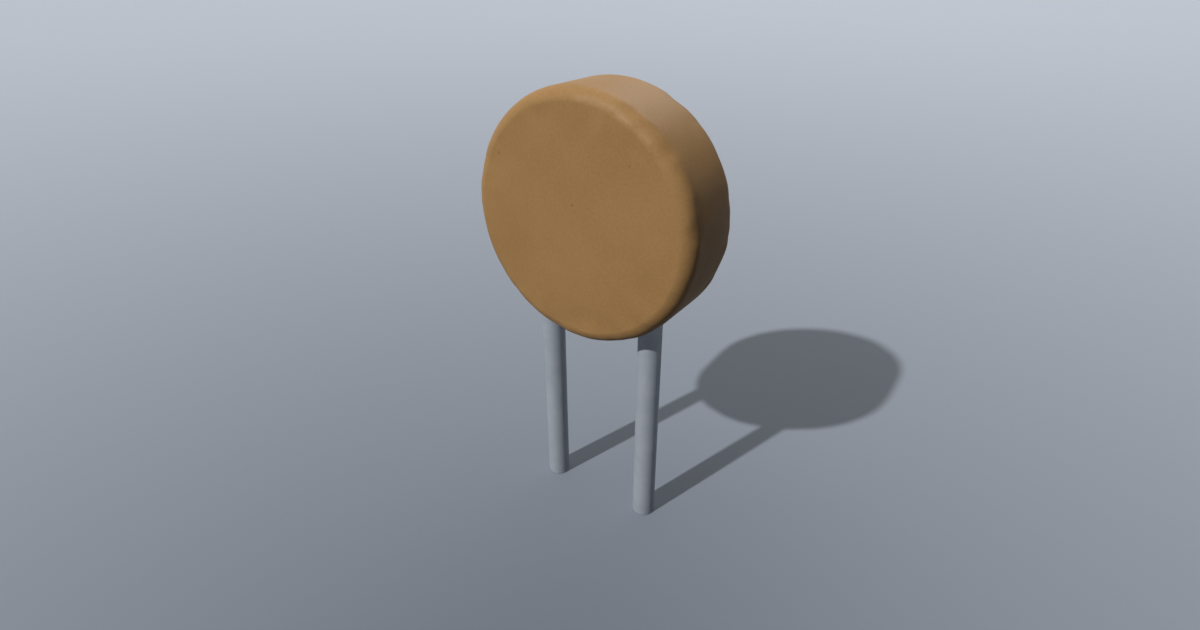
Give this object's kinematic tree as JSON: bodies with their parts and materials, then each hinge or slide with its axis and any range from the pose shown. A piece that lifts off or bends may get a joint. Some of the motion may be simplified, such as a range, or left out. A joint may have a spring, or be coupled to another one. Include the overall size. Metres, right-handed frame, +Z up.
{
  "type": "ceramic disc capacitor",
  "caption": "Round dip-coated ceramic disc capacitor with straight parallel wire leads for soldering into a circuit board.",
  "frame": {"origin": "midway between the two lead tips, at the height of the cut ends", "axes": "+Z up along the leads to the coated disc, X through both leads, front face towards -Y"},
  "size_m": [0.005, 0.0018, 0.0096],
  "materials": {
    "coating": "satin",
    "ceramic": "matte",
    "silver": "satin",
    "solder": "satin",
    "tinned_wire": "satin"
  },
  "bodies": {
    "root": {"coating": "coating", "ceramic_disc": "ceramic", "front_electrode": "silver", "rear_electrode": "silver", "front_solder": "solder", "rear_solder": "solder", "left_lead": "tinned_wire", "right_lead": "tinned_wire"}
  },
  "joints": []
}
